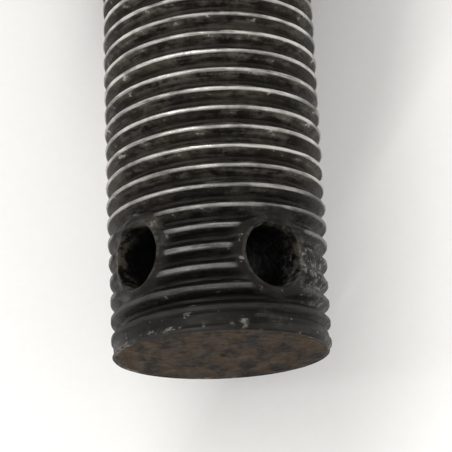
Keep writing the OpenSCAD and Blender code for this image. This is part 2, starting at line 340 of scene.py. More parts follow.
def worn_thread(r, height, angle, along):
    """The wear on a point of the thread, at a height in its form and a distance along from the tip.

    The crests are bruised, and blunt near the tip. The last turn is nearly filled. The thread is mashed flat
    round the split pin holes and battered beside the first one.
    """
    x, z = thread_r * math.sin(angle), thread_r * math.cos(angle)
    y = tip_y + along
    bruise = rough(x, y * 0.6, z, 2.2 * MM, 1)
    r -= thread_depth * height ** 3 * 0.12 * max(0.0, bruise)
    blunt = 1 - smooth_step(4.5 * MM, 10.0 * MM, along)
    r -= blunt * max(0.0, r - thread_r + BLUNT_BY)
    last_turn = 1 - smooth_step(1.1 * MM, 1.9 * MM, along)
    r += last_turn * max(0.0, thread_r - 0.32 * MM - r)
    r += 0.016 * MM * rough(x, y, z, 0.45 * MM, 2) + 0.010 * MM * rough(x, y, z, 0.2 * MM, 14)
    mashed_level = thread_r - 0.34 * MM
    rim = mouth_distance(x, y, z) - pin_hole_r
    near = 1 - smooth_step(0.55 * MM, 1.45 * MM + 0.4 * MM * rough(x, y, z, 1.5 * MM, 3), rim)
    dent = (Vector((x, y, z)) - BATTERED_SPOT).length + 0.9 * MM * rough(x, y, z, 1.6 * MM, 11)
    battered = 1 - smooth_step(1.0 * MM, 3.1 * MM, dent)
    mashed = max(near * 0.93, battered * 0.66)
    if mashed > 0:
        lump = rough(x, y, z, 0.75 * MM, 12) * 0.19 * MM + rough(x, y, z, 0.36 * MM, 13) * 0.08 * MM
        r += mashed * (mashed_level - r + lump * (0.35 + 0.65 * battered))
        along += 0.12 * MM * mashed * rough(x, y, z, 0.9 * MM, 4)
    return r, along


# ---- Rod body ----


def thread_envelope():
    """What the thread is turned down to: a rounded tip with a sawn face, and a plain end in the neck."""
    crest_r = thread_r + 0.02 * MM
    length = -tip_y
    shoulder = length - (crest_r - tip_face_r) * 1.2
    inside = -shoulder_y - 6 * MM
    rings_on_face = 30
    outline = [(0, inside), (crest_r, inside)]
    outline += arc(tip_face_r, shoulder, crest_r - tip_face_r, 0, 75, 6)
    outline += [(tip_face_r * i / rings_on_face, length) for i in range(rings_on_face, -1, -1)]

    def sawn(radius, height, angle):
        x, y = radius * math.cos(angle), radius * math.sin(angle)
        if height < length - 1e-6:
            on_edge = smooth_step(shoulder - 0.1 * MM, length, height)
            chipped = 0.05 * MM * rough(x, y, height, 1.4 * MM, 15) * on_edge
            return radius + min(chipped, 0), height
        lump = rough(x, y * 0.45, 0, 1.7 * MM, 5) * 0.13 + rough(x, y * 0.4, 0, 0.7 * MM, 6) * 0.06
        lump += rough(x, y * 0.3, 0, 0.35 * MM, 16) * 0.02
        edge = smooth_step(tip_face_r - 1.0 * MM, tip_face_r, radius)
        return radius, height - (0.17 - lump * (1 - 0.6 * edge)) * MM

    return place(lathe("thread_envelope", outline, 180, sawn), along_shank())


def pin_hole_cutter(hole):
    """A split pin hole with a rounded rim at both mouths."""
    reach = 11 * MM
    rim = thread_r - 0.85 * MM
    flare = [(0.04, 0.16), (0.15, 0.32), (0.31, 0.46), (0.52, 0.57), (0.9, 0.72)]
    half = [(pin_hole_r, 0.0), (pin_hole_r, rim)]
    half += [(pin_hole_r + out * MM, rim + up * MM) for out, up in flare]
    half += [(pin_hole_r + 0.9 * MM, reach), (0, reach)]
    outline = [(r, -h) for r, h in half[::-1]] + half[1:]

    def ragged(radius, height, angle):
        bump = rough(math.cos(angle), math.sin(angle), height / MM, 0.7, 7)
        return radius + 0.04 * MM * bump * smooth_step(root_r, thread_r, abs(height)), height

    cutter = lathe("pin_hole_cutter", outline, 72, ragged)
    turn = Vector((0, 0, 1)).rotation_difference(pin_hole_direction(hole)).to_matrix().to_4x4()
    return place(cutter, Matrix.Translation(hole["pos_m"]) @ turn)


def neck_section(y, half_width, half_height, squareness, steps):
    """One cross section of the neck, from an ellipse at squareness 2 to nearly a rectangle."""
    ring = []
    for k in range(steps):
        a = TURN * k / steps
        c, s = math.cos(a), math.sin(a)
        x = math.copysign(abs(c) ** (2 / squareness), c) * half_width
        z = math.copysign(abs(s) ** (2 / squareness), s) * half_height
        ring.append((x, y, z))
    return ring


def forged_blank():
    """The eye and neck as forged, with soft blends and a faint parting line."""
    flat = eye_half + 0.12 * MM
    edge = 4.6 * MM
    middle = eye_r - 0.16 * MM - edge
    outline = [(0, -flat)] + arc(middle, -flat + edge, edge, -90, 0, 8)
    outline += arc(middle, flat - edge, edge, 0, 90, 8) + [(0, flat)]
    blank = lathe("rod_body_forging", outline, 160)
    # y, half width and half height in mm, squareness
    sections = [
        (-0.50 * eye_r, 15.0, eye_half / MM - 0.3, 3.6), (-0.80 * eye_r, 13.6, eye_half / MM - 0.1, 3.2),
        (-0.93 * eye_r, 12.2, eye_half / MM + 0.1, 2.9), (shoulder_y + 6.0 * MM, 10.7, 8.25, 2.5),
        (shoulder_y + 3.6 * MM, 9.75, 9.0, 2.15), (shoulder_y + 1.4 * MM, 9.42, neck_r / MM, 2.0),
        (shoulder_y - 0.5 * MM, 9.38, neck_r / MM, 2.0),
    ]
    points, faces, count = [], [], 96
    for y, half_width, half_height, squareness in sections:
        points += neck_section(y, half_width * MM, half_height * MM, squareness, count)
    for a in range(len(sections) - 1):
        for k in range(count):
            n = (k + 1) % count
            faces.append([a * count + k, a * count + n, (a + 1) * count + n, (a + 1) * count + k])
    faces += [list(range(count)), list(range((len(sections) - 1) * count, len(sections) * count))]
    combine(blank, piece_from("neck_blank", points, faces), "UNION")
    skin = blank.modifiers.new("skin", "REMESH")
    skin.mode = "VOXEL"
    skin.voxel_size = 0.5 * MM
    blend = blank.modifiers.new("blend", "SMOOTH")
    blend.factor = 0.5
    blend.iterations = 12
    settle(blank)

    def as_forged(x, y, z):
        in_eye = smooth_step(shoulder_y, -0.8 * eye_r, y)
        parting = math.exp(-(z / (0.5 * MM)) ** 2) * 0.16 * in_eye
        return (parting + 0.05 * rough(x, y, z, 5 * MM, 8) + 0.03 * rough(x, y, z, 1.2 * MM, 9)) * MM

    push_out(blank, as_forged)
    return blank


def eye_cutter():
    """The bored seat of the ring, with its circlip grooves and chamfered mouths."""
    groove_r = circlip_high.x + 0.05 * MM
    inner, outer = circlip_low.z - 0.05 * MM, circlip_high.z + 0.05 * MM
    half = [
        (eye_bore_r, inner), (groove_r, inner), (groove_r, outer), (eye_bore_r, outer),
        (eye_bore_r, eye_half - 0.45 * MM), (eye_bore_r + 0.95 * MM, eye_half + 0.5 * MM),
        (eye_bore_r + 0.95 * MM, eye_half + 4 * MM), (0, eye_half + 4 * MM),
    ]
    return lathe("eye_cutter", mirrored_outline(half), 160)


def face_cutter(side):
    """The machined ring around the bore."""
    turned_r = eye_r - 2.6 * MM
    outline = [
        (0, eye_half), (turned_r - 0.25 * MM, eye_half), (turned_r, eye_half + 0.25 * MM),
        (turned_r, eye_half + 5 * MM), (0, eye_half + 5 * MM),
    ]
    cutter = lathe("face_cutter", outline, 160)
    return place(cutter, Matrix.Scale(side, 4, (0, 0, 1)))


def nipple_seat_cutter():
    """The spot face, the tapped hole and the drilling under the grease nipple."""
    hole_r = nipple_stem_r + 0.1 * MM
    drill_r, spot_r = 1.2 * MM, 5.2 * MM
    hole_depth, drill_depth = 5.4 * MM, 14 * MM
    outline = [
        (0, -drill_depth), (drill_r, -drill_depth), (drill_r, -hole_depth), (hole_r, -hole_depth),
        (hole_r, -0.35 * MM), (3.55 * MM, 0), (spot_r - 0.2 * MM, 0), (spot_r, 0.2 * MM),
        (spot_r, 5 * MM), (0, 5 * MM),
    ]
    return place(lathe("nipple_seat_cutter", outline, 64), out_of_crown(nipple_seat_y))


def make_rod_body():
    """The forging with its threaded shank, machined faces, bored eye and nipple hole."""
    shank = thread_rod("rod_body_thread", tip_y, shoulder_y, wear=worn_thread)
    combine(shank, thread_envelope(), "INTERSECT")
    start = -shoulder_y
    undercut_r = root_r + 0.05 * MM
    relief = [
        (undercut_r, start), (undercut_r, start + 0.9 * MM),
        (thread_r + 1 * MM, start + 2.1 * MM), (thread_r + 1 * MM, start),
    ]
    combine(shank, place(lathe("relief", relief, 128), along_shank()), "DIFFERENCE")
    for hole in pin_holes:
        combine(shank, pin_hole_cutter(hole), "DIFFERENCE")
    body = forged_blank()
    shoulder = [
        (0, start), (neck_r - 0.9 * MM, start), (neck_r + 1 * MM, start - 1.1 * MM),
        (neck_r + 1 * MM, start + 4 * MM), (0, start + 4 * MM),
    ]
    combine(body, place(lathe("shoulder_cutter", shoulder, 128), along_shank()), "DIFFERENCE")
    combine(body, shank, "UNION")
    for side in (-1, 1):
        combine(body, face_cutter(side), "DIFFERENCE")
    combine(body, eye_cutter(), "DIFFERENCE")
    combine(body, nipple_seat_cutter(), "DIFFERENCE")
    shade(body, 32)
    body.name = "rod_body_forging"
    return body


# ---- Bearing ----


def make_swivel_ball():
    """The ball, with a grease groove outside and in its bore, and polished edges."""
    chamfer = 0.55 * MM
    groove, depth = grease_groove_half, grease_groove_depth
    latitude = math.degrees(math.asin(ball_half / ball_r))
    groove_at = math.degrees(math.asin(groove / ball_r))
    face_r = ball_r * math.cos(math.radians(latitude))
    half = [(ball_r - depth, groove - 0.25 * MM)] + arc(0, 0, ball_r, groove_at, latitude - 1.6, 26)
    half += [(face_r + 0.02 * MM, ball_half - 0.12 * MM), (face_r - 0.22 * MM, ball_half)]
    half += [(bore_r + chamfer + 0.1 * MM, ball_half), (bore_r + chamfer * 0.8, ball_half - 0.06 * MM)]
    half += [(bore_r + 0.05 * MM, ball_half - chamfer * 0.9), (bore_r, ball_half - chamfer * 1.15)]
    half += [(bore_r, groove), (bore_r + depth, groove - 0.3 * MM)]
    ball = lathe("swivel_ball_sphere", mirrored_outline(half), 192)
    combine(ball, grease_drilling(ball_r + 2 * MM), "DIFFERENCE")
    shade(ball, 28)
    return ball


def grease_drilling(reach):
    """Grease holes through a ring, on both sides in X."""
    drill_r = 0.8 * MM
    rod = lathe("drill", [(0, -reach), (drill_r, -reach), (drill_r, reach), (0, reach)], 40)
    return place(rod, Matrix.Rotation(math.radians(90), 4, "Y"))


def make_outer_ring():
    """The ring is broken across at one place, so that it can be sprung over the ball."""
    groove, depth = grease_groove_half, grease_groove_depth
    seal_floor = math.sqrt(race_r ** 2 - seal_seat_z ** 2) + 1.5 * MM
    start = math.degrees(math.asin(seal_seat_z / race_r))
    groove_at = math.degrees(math.asin(groove / race_r))
    edge = 0.5 * MM
    half = [(race_r + depth, groove - 0.3 * MM)] + arc(0, 0, race_r, groove_at, start, 18)
    half += [(seal_floor, seal_seat_z), (seal_floor, ring_half - 0.1 * MM)]
    half += [(seal_floor + 0.1 * MM, ring_half)]
    half += [(ring_r - edge, ring_half), (ring_r - edge * 0.4, ring_half - edge * 0.2)]
    half += [(ring_r, ring_half - edge), (ring_r, groove), (ring_r - depth, groove - 0.3 * MM)]
    ring = lathe("outer_ring_race", mirrored_outline(half), 192)
    combine(ring, grease_drilling(ring_r + 2 * MM), "DIFFERENCE")
    inside, outside = race_r * 0.8, ring_r * 1.1
    crack = [(inside, -0.035 * MM), (outside, 0.05 * MM), (outside, 0.13 * MM), (inside, 0.045 * MM)]
    fracture = prism("fracture", crack, -ring_half * 1.5, ring_half * 1.5)
    combine(ring, place(fracture, Matrix.Rotation(math.radians(212), 4, "Z")), "DIFFERENCE")
    shade(ring, 28)
    return ring


def face_side(piece, side):
    """Mirrors a piece across the middle plane when side is -1."""
    place(piece, Matrix.Scale(side, 4, (0, 0, 1)))
    if side < 0:
        piece.data.flip_normals()


def make_seal(name, side):
    """A rubber seal with two lips that follow the ball."""
    low, high = ring_half - 1.20 * MM, ring_half - 0.1 * MM
    floor = math.sqrt(race_r ** 2 - seal_seat_z ** 2) + 1.44 * MM
    lip = ball_r + 0.06 * MM

    def on_ball(height, gap=0.0):
        return math.sqrt(lip ** 2 - height ** 2) + gap

    mid = (low + high) / 2
    valley = 0.12 * MM
    outline = [
        (on_ball(low), low), (on_ball(low + 0.2 * MM), low + 0.2 * MM),
        (on_ball(mid - valley, 0.28 * MM), mid - valley), (on_ball(mid + valley, 0.28 * MM), mid + valley),
        (on_ball(high - 0.22 * MM), high - 0.22 * MM), (on_ball(high, 0.02 * MM), high),
        (on_ball(high) + 0.35 * MM, high), (on_ball(high) + 0.5 * MM, high - 0.18 * MM),
        (floor - 0.55 * MM, high - 0.18 * MM), (floor - 0.4 * MM, high), (floor - 0.1 * MM, high),
        (floor, high - 0.1 * MM), (floor, low + 0.1 * MM), (floor - 0.1 * MM, low),
    ]
    seal = lathe(name, outline, 160)
    face_side(seal, side)
    shade(seal, 35)
    return seal


def make_circlip(name, side):
    """An internal circlip: its band thins towards the lugs, which hold the plier holes."""
    outer = circlip_high.x
    band_in, lug_in = outer - 2.5 * MM, outer - 3.2 * MM
    thinning = 0.35 * MM
    lugs_at = math.radians(90)
    gap, lug = math.radians(9.5), math.radians(20.5)
    rim = outer - 0.25 * MM
    start, end = lugs_at + gap, lugs_at + TURN - gap
    inner_start, inner_end = lugs_at + TURN - lug, lugs_at + lug
    steps = 120
    outline = [polar(outer, a) for a in np.linspace(start, end, steps)]
    outline += [polar(lug_in, a) for a in np.linspace(end, inner_start, 6)]
    for a in np.linspace(inner_start, inner_end, steps):
        upward = 0.5 + 0.5 * math.sin(a)
        outline.append(polar(band_in + thinning * upward ** 2, a))
    outline += [polar(lug_in, a) for a in np.linspace(inner_end, start, 6)]
    clip = prism(name, outline, circlip_low.z, circlip_high.z)
    hole_at, hole_r = (lug_in + rim) / 2 - 0.3 * MM, 0.85 * MM
    for sign in (-1, 1):
        hole = lathe("plier_hole", [(0, 0), (hole_r, 0), (hole_r, 20 * MM), (0, 20 * MM)], 32)
        across = Matrix.Translation((*polar(hole_at, lugs_at + sign * (gap + lug) / 2), 0))
        combine(clip, place(hole, across), "DIFFERENCE")
    round_edges(clip, 0.09 * MM, 2, 40)
    face_side(clip, side)
    shade(clip, 30)
    return clip


# ---- Grease nipple ----


def make_grease_nipple():
    """A hexagon, a stem with a necked head, and the passage that holds the ball valve."""
    tip = nipple_high.y - nipple_seat_y
    foot = nipple_seat_y - nipple_low.y
    across = (nipple_high.z - nipple_low.z) / 2
    hexagon_h = 3.2 * MM
    corner = across / math.cos(math.radians(30))
    hexagon = [polar(corner, TURN * (k + 0.5) / 6) for k in range(6)]
    nipple = prism("grease_nipple_body", hexagon, 0, hexagon_h)
    crown_r = corner + 0.6 * MM
    crown = [
        (0, 0), (across - 0.05 * MM, 0), (crown_r, 0.85 * MM), (crown_r, hexagon_h - 0.95 * MM),
        (across - 0.25 * MM, hexagon_h), (0, hexagon_h),
    ]
    combine(nipple, lathe("hexagon_crown", crown, 96), "INTERSECT")
    head, neck = 3.2 * MM, 1.5 * MM
    stem = [(0, -foot), (2.7 * MM, -foot), (nipple_stem_r, -foot + 0.5 * MM), (nipple_stem_r, 0.2 * MM)]
    stem += [(head * 0.9, 0.3 * MM), (head * 0.9, hexagon_h + 0.05 * MM)]
    stem += [(head * 0.84, hexagon_h + 0.35 * MM)]
    stem += arc(head * 0.76 + neck, tip - 3.35 * MM, neck, 205, 150, 8)
    stem += [(head * 0.97, tip - 2.02 * MM), (head, tip - 1.85 * MM), (head, tip - 1.5 * MM)]
    stem += [(head * 0.97, tip - 1.35 * MM), (head * 0.62, tip - 0.12 * MM), (head * 0.56, tip), (0, tip)]
    combine(nipple, lathe("nipple_stem", stem, 96), "UNION")
    mouth = (check_high.y - check_low.y) / 2 * 0.8
    seat = tip - 0.55 * MM
    check_at = (check_low.y + check_high.y) / 2 - nipple_seat_y
    feed_r, chamber_r, ledge = 0.8 * MM, 1.4 * MM, -foot + 0.6 * MM
    passage = [
        (0, -foot - 1 * MM), (feed_r, -foot - 1 * MM), (feed_r, ledge), (chamber_r, ledge),
        (chamber_r, check_at), (mouth, seat - 0.02 * MM), (mouth, seat + 0.02 * MM),
        (mouth + 0.45 * MM, tip + 0.02 * MM), (mouth + 0.45 * MM, tip + 1 * MM), (0, tip + 1 * MM),
    ]
    combine(nipple, lathe("nipple_passage", passage, 64), "DIFFERENCE")
    round_edges(nipple, 0.06 * MM, 2, 40)
    shade(nipple, 35)
    return place(nipple, out_of_crown(nipple_seat_y))


def make_check_ball():
    radius = (check_high.y - check_low.y) / 2
    centre = (check_low.y + check_high.y) / 2
    ball = lathe("check_ball_sphere", arc(0, 0, radius, -90, 90, 24), 48)
    shade(ball, 60)
    return place(ball, out_of_crown(centre))


def make_check_spring():
    """A wire coil with closed ends."""
    wire, turns, sides, steps = 0.2 * MM, 7, 8, 28
    coil_r = (spring_high.x - spring_low.x) / 2 - wire
    low, high = spring_low.y + wire, spring_high.y - wire
    count = turns * steps
    points, faces = [], []
    for i in range(count + 1):
        share = i / count
        a = TURN * turns * share
        rise = low + (high - low) * smooth_step(0, 1, share) * 0.35 + (high - low) * share * 0.65
        for j in range(sides):
            b = TURN * j / sides
            r = coil_r + wire * math.cos(b)
            points.append((r * math.cos(a), rise + wire * math.sin(b), r * math.sin(a)))
    for i in range(count):
        for j in range(sides):
            n = (j + 1) % sides
            faces.append([i * sides + j, i * sides + n, (i + 1) * sides + n, (i + 1) * sides + j])
    faces += [list(range(sides)), list(range(count * sides, (count + 1) * sides))]
    spring = piece_from("check_spring_coil", points, faces)
    shade(spring, 60)
    return spring


# ---- Jam nut and lock washer ----


def make_jam_nut():
    """A chamfered hexagon, tapped and countersunk at both ends."""
    corner = max(nut_high.x, nut_high.z)
    flat = min(nut_high.x, nut_high.z)
    half = (nut_high.y - nut_low.y) / 2
    middle = (nut_high.y + nut_low.y) / 2
    nut = prism("jam_nut_hexagon", [polar(corner, TURN * k / 6) for k in range(6)], -half, half)
    rise = (corner - flat + 0.35 * MM) * math.tan(math.radians(30))
    chamfer = [
        (0, -half), (flat - 0.3 * MM, -half), (corner + 0.05 * MM, -half + rise),
        (corner + 0.05 * MM, half - rise), (flat - 0.3 * MM, half), (0, half),
    ]
    combine(nut, lathe("nut_chamfer", chamfer, 160), "INTERSECT")
    round_edges(nut, 0.16 * MM, 3, 25)
    push_out(nut, lambda x, y, z: 0.012 * MM * rough(x, y, z, 3 * MM, 10))
    place(nut, Matrix.Translation((0, middle, 0)) @ along_shank())
    tap = thread_rod("nut_thread", nut_low.y - 3 * MM, nut_high.y + 3 * MM, grow=0.07 * MM, columns=144)
    near, far = -nut_high.y, -nut_low.y
    wide, sink_r, drilled_r = thread_r + 1.2 * MM, thread_r + 0.65 * MM, root_r + 0.25 * MM
    countersinks = [
        (0, near - 1 * MM), (wide, near - 1 * MM), (sink_r, near), (drilled_r, near + 1.0 * MM),
        (drilled_r, far - 1.0 * MM), (sink_r, far), (wide, far + 1 * MM), (0, far + 1 * MM),
    ]
    combine(nut, tap, "DIFFERENCE")
    combine(nut, place(lathe("nut_countersinks", countersinks, 128), along_shank()), "DIFFERENCE")
    shade(nut, 30)
    return nut


def make_lock_washer():
    """A split spring washer: one turn of a bar, cut across at a slant, with its ends sprung apart."""
    inner, outer = thread_r + 0.27 * MM, washer_high.x
    thickness = washer_high.y - washer_low.y
    spring, slit = 0.32 * MM, 1.0 * MM
    steps, bevel = 150, 0.28 * MM
    half = (thickness - spring) / 2
    crowned = outer - 0.05 * MM
    section = [
        (inner + bevel, -half), (outer - bevel, -half), (crowned, -half + bevel * 0.6), (outer, 0),
        (crowned, half - bevel * 0.6), (outer - bevel, half), (inner + bevel, half),
        (inner, half - bevel), (inner, -half + bevel),
    ]
    points, faces, n = [], [], len(section)
    slant = math.tan(math.radians(32))
    for i in range(steps + 1):
        share = i / steps
        for r, h in section:
            start = (slit / 2 - h * slant) / outer
            x, y = polar(r, start + (TURN - slit / outer) * share)
            points.append((x, y, h + spring * (share - 0.5)))
    for i in range(steps):
        for j in range(n):
            k = (j + 1) % n
            faces.append([i * n + j, i * n + k, (i + 1) * n + k, (i + 1) * n + j])
    faces += [list(range(n)), list(range(steps * n, (steps + 1) * n))]
    washer = piece_from("lock_washer_coil", points, faces)
    round_edges(washer, 0.06 * MM, 2, 50)
    shade(washer, 30)
    middle = (washer_high.y + washer_low.y) / 2
    slit_up = Matrix.Rotation(math.radians(-38), 4, "Z")
    return place(washer, Matrix.Translation((0, middle, 0)) @ along_shank() @ slit_up)


# ---- Finishes ----


class Wire:
    """A shader value that takes part in Python arithmetic."""

    def __init__(self, finish, socket):
        self.finish, self.socket = finish, socket

    def maths(self, operation, *values):
        return self.finish.node("ShaderNodeMath", {"operation": operation}, dict(enumerate(values)))

    def __add__(self, other):
        return self.maths("ADD", self, other)

    def __sub__(self, other):
        return self.maths("SUBTRACT", self, other)

    def __rsub__(self, other):
        return self.maths("SUBTRACT", other, self)

    def __mul__(self, other):
        return self.maths("MULTIPLY", self, other)

    def __pow__(self, other):
        return self.maths("POWER", self, other)

    __radd__ = __add__
    __rmul__ = __mul__

    def step(self, low, high):
        """From 0 at low to 1 at high, smoothly."""
        settings = {"interpolation_type": "SMOOTHSTEP"}
        values = {"Value": self, "From Min": low, "From Max": high}
        return self.finish.node("ShaderNodeMapRange", settings, values)


class Finish:
    """A material and the nodes that make it."""

    def __init__(self, name, **constants):
        self.material = bpy.data.materials.new(name)
        self.material.use_nodes = True
        self.tree = self.material.node_tree
        self.shader = next(n for n in self.tree.nodes if n.type == "BSDF_PRINCIPLED")
        for socket, value in constants.items():
            self.shader.inputs[socket.replace("_", " ")].default_value = value
        coordinates = self.tree.nodes.new("ShaderNodeTexCoord")
        self.place = Wire(self, coordinates.outputs["Object"])
        apart = self.tree.nodes.new("ShaderNodeSeparateXYZ")
        self.tree.links.new(self.place.socket, apart.inputs[0])
        self.x, self.y, self.z = (Wire(self, out) for out in apart.outputs)

    def node(self, kind, settings, values, output=0):
        """A node of the kind, its settings made first and then its sockets. Returns one output."""
        node = self.tree.nodes.new(kind)
        for key, value in settings.items():
            setattr(node, key, value)
        for key, value in values.items():
            if isinstance(value, Wire):
                self.tree.links.new(value.socket, node.inputs[key])
            else:
                node.inputs[key].default_value = value
        return Wire(self, node.outputs[output])

    def noise(self, size, detail=3.0, roughness=0.55, at=None):
        """Noise from 0 to 1, with lumps of the given size in metres."""
        values = {"Vector": at or self.place, "Scale": 1 / size}
        values.update(Detail=detail, Roughness=roughness)
        return self.node("ShaderNodeTexNoise", {}, values)

    def vector(self, x, y, z):
        return self.node("ShaderNodeCombineXYZ", {}, {0: x, 1: y, 2: z})

    def mix(self, share, first, second):
        """A colour between two colours."""
        first = first if isinstance(first, Wire) else (*first, 1)
        second = second if isinstance(second, Wire) else (*second, 1)
        return self.node("ShaderNodeMix", {"data_type": "RGBA"}, {0: share, 6: first, 7: second}, 2)

    def set(self, socket, value):
        self.tree.links.new(value.socket, self.shader.inputs[socket])

    def bump(self, height, distance, strength=1.0):
        values = {"Height": height, "Distance": distance, "Strength": strength}
        self.set("Normal", self.node("ShaderNodeBump", {}, values))


def shank_radius(finish):
    """Distance from the shank's axis."""
    return (finish.x * finish.x + finish.z * finish.z) ** 0.5


def around_shank(finish, stretch):
    """Coordinates in which marks run round the shank: X is stretched by its turning."""
    angle = finish.node("ShaderNodeMath", {"operation": "ARCTAN2"}, {0: finish.x, 1: finish.z})
    return finish.vector(angle * (thread_r / stretch), finish.y, shank_radius(finish))


def pin_hole_masks(f, on_thread):
    """Where the walls of the split pin holes are, and a narrow ring round their mouths."""
    in_hole, ring = 0.0, 0.0
    for hole in pin_holes:
        across = f.x * hole["axis"][2] - f.z * hole["axis"][0]
        lengthwise = f.y - hole["pos_m"][1]
        from_axis = (across * across + lengthwise * lengthwise) ** 0.5
        outside = from_axis.step(pin_hole_r + 0.03 * MM, pin_hole_r + 0.13 * MM)
        in_hole = in_hole + (1 - outside)
        ring = ring + outside * (1 - from_axis.step(pin_hole_r + 0.2 * MM, pin_hole_r + 0.4 * MM))
    return in_hole * on_thread, ring * on_thread


def rusty_face(f, grains):
    """The colour of the sawn end face, the height of its rust, and its blotches."""
    saw_marks = f.vector(f.x, f.y, f.z * 0.4)
    blotches = f.noise(1.5 * MM, 3, 0.55, saw_marks)
    rust = f.noise(0.8 * MM, 3, 0.55, saw_marks)
    colour = f.mix(blotches.step(0.40, 0.60), (0.0070, 0.0045, 0.0028), (0.036, 0.0225, 0.0120))
    colour = f.mix(rust.step(0.46, 0.66) * 0.5, colour, (0.062, 0.040, 0.022))
    colour = f.mix(grains.step(0.62, 0.72) * rust.step(0.52, 0.6) * 0.3, colour, (0.15, 0.12, 0.09))
    return colour, rust * 1.5 + blotches * 3.0, blotches


def black_oxide_shank():
    """Grimy black oxide worn bright on the crests, oily and with painted shade near the tip, and a rusty end
    face, with painted shade in the split pin holes and a painted highlight on their rims.
    """
    oxide_dark, oxide_dusty, brown_film = (0.010, 0.009, 0.0075), (0.118, 0.109, 0.090), (0.050, 0.036, 0.024)
    # The oil colour also stands for painted shade that darkens the metal towards the tip.
    stain, root_dirt, painted_shade_and_oil = (0.009, 0.008, 0.0065), (0.011, 0.009, 0.007), (0.0065, 0.0060, 0.0052)
    # The hole colours are painted shade on the split pin hole walls and painted light with dust near their
    # mouths; the rubbed colour is rim wear made lighter as a painted highlight.
    rubbed_rim_and_highlight, painted_hole_shade, hole_mouth_dust_and_light = (0.075, 0.070, 0.062), (0.003, 0.003, 0.003), (0.095, 0.085, 0.070)
    bare_steel, chipped = (0.60, 0.585, 0.56), (0.16, 0.145, 0.125)
    f = Finish("oiled_black_oxide_painted_shade", Specular_IOR_Level=0.17, Coat_Roughness=0.3)
    r = shank_radius(f)
    from_tip = f.y - tip_y

    streaks = f.noise(0.45 * MM, 5, 0.6, around_shank(f, 7))
    grime = f.noise(0.9 * MM, 5, 0.65)
    patches = f.noise(3.2 * MM, 4, 0.6)
    grains = f.noise(0.22 * MM, 3, 0.6)
    mottle = ((streaks + grime) * 0.5).step(0.41, 0.60)
    stains = f.noise(1.5 * MM, 4, 0.6, around_shank(f, 2.6)).step(0.48, 0.58)

    on_thread = 1 - f.y.step(shoulder_y - 0.6 * MM, shoulder_y + 0.2 * MM)
    ragged_r = r + (f.noise(1.1 * MM, 3, 0.6) - 0.5) * (0.7 * MM)
    within_edge = 1 - ragged_r.step(tip_face_r - 0.25 * MM, tip_face_r)
    end_face = (1 - from_tip.step(0.40 * MM, 0.52 * MM)) * within_edge
    # Oil and painted shade over the last 14.5 mm towards the tip, full within 5.5 mm of it.
    tip_shade_and_oil = 1 - from_tip.step(5.5 * MM, 14.5 * MM)
    in_root = (1 - r.step(root_r + 0.05 * MM, root_r + 0.45 * MM)) * on_thread
    in_hole, hole_ring = pin_hole_masks(f, on_thread)
    in_hole = in_hole * (1 - end_face)
    near_mouth = r.step(5.9 * MM, 7.3 * MM)

    blunt = 1 - from_tip.step(4.5 * MM, 10 * MM)
    top = (r + blunt * (BLUNT_BY * 0.85)).step(thread_r - 0.15 * MM, thread_r - 0.04 * MM) * on_thread
    # Painted shade: the worn crests are dimmed towards the tip and over its last turns.
    clear_of_tip_shade = (1 - tip_shade_and_oil * 0.76) * (0.1 + 0.9 * from_tip.step(1.5 * MM, 5.5 * MM))
    uneven = (0.50 + 0.50 * patches.step(0.38, 0.58)) * (0.35 + 0.65 * streaks.step(0.36, 0.56))
    worn = top * uneven * clear_of_tip_shade
    upper_flank = r.step(thread_r - 0.6 * MM, thread_r - 0.3 * MM)
    nicks = grime.step(0.58, 0.65) * streaks.step(0.49, 0.57) * upper_flank
    spot = f.node("ShaderNodeVectorMath", {"operation": "DISTANCE"}, {0: f.place, 1: BATTERED_SPOT}, 1)
    scuffs = (1 - spot.step(1.6 * MM, 3.6 * MM)) * f.noise(0.4 * MM, 4, 0.7).step(0.52, 0.62)
    bright = worn + (nicks * 0.6 * (1 - tip_shade_and_oil * 0.6) + scuffs * 0.25) * on_thread * (1 - top)

    base = f.mix(mottle, oxide_dark, oxide_dusty)
    base = f.mix(stains * on_thread * 0.72, base, stain)
    base = f.mix(patches.step(0.45, 0.65) * 0.45, base, brown_film)
    base = f.mix(in_root * 0.7, base, root_dirt)
    # Painted shade with oil: darkens the metal towards the tip.
    base = f.mix(tip_shade_and_oil * (0.70 + 0.25 * patches.step(0.3, 0.6)), base, painted_shade_and_oil)
    # Rubbed wear round the hole mouths, lightened as a painted highlight of their chamfers.
    base = f.mix(hole_ring * streaks.step(0.35, 0.6) * 0.45, base, rubbed_rim_and_highlight)
    # Painted shade: the hole walls are nearly black, less so towards the mouths, with painted light and dust
    # in patches near them.
    base = f.mix(in_hole * (0.95 - near_mouth * 0.6), base, painted_hole_shade)
    base = f.mix(in_hole * near_mouth * grime.step(0.45, 0.6) * 0.8, base, hole_mouth_dust_and_light)
    base = f.mix(bright, base, bare_steel)
    face_colour, face_height, blotches = rusty_face(f, grains)
    base = f.mix(end_face, base, face_colour)
    tip_edge = (1 - from_tip.step(0.45 * MM, 0.85 * MM)) * r.step(tip_face_r - 0.25 * MM, tip_face_r)
    chips = tip_edge * blotches.step(0.50, 0.58) * grime.step(0.48, 0.58)
    base = f.mix(chips * 0.8, base, chipped)

    f.set("Base Color", base)
    f.set("Roughness", 0.46 + mottle * 0.2 - bright * 0.22 + end_face * 0.28)
    f.set("Metallic", 0.26 + bright * 0.60 + tip_shade_and_oil * (1 - end_face) * 0.38 - end_face * 0.2)
    f.set("Coat Weight", (1 - end_face) * (1 - in_hole) * (0.03 + 0.05 * tip_shade_and_oil) * patches.step(0.3, 0.6))
    forged = (1 - on_thread) * (grime * 1.4 + grains * 0.4)
    f.bump(mottle * 0.6 * on_thread + grains * 0.25 + end_face * face_height + forged, 0.06 * MM, 0.75)
    return f.material


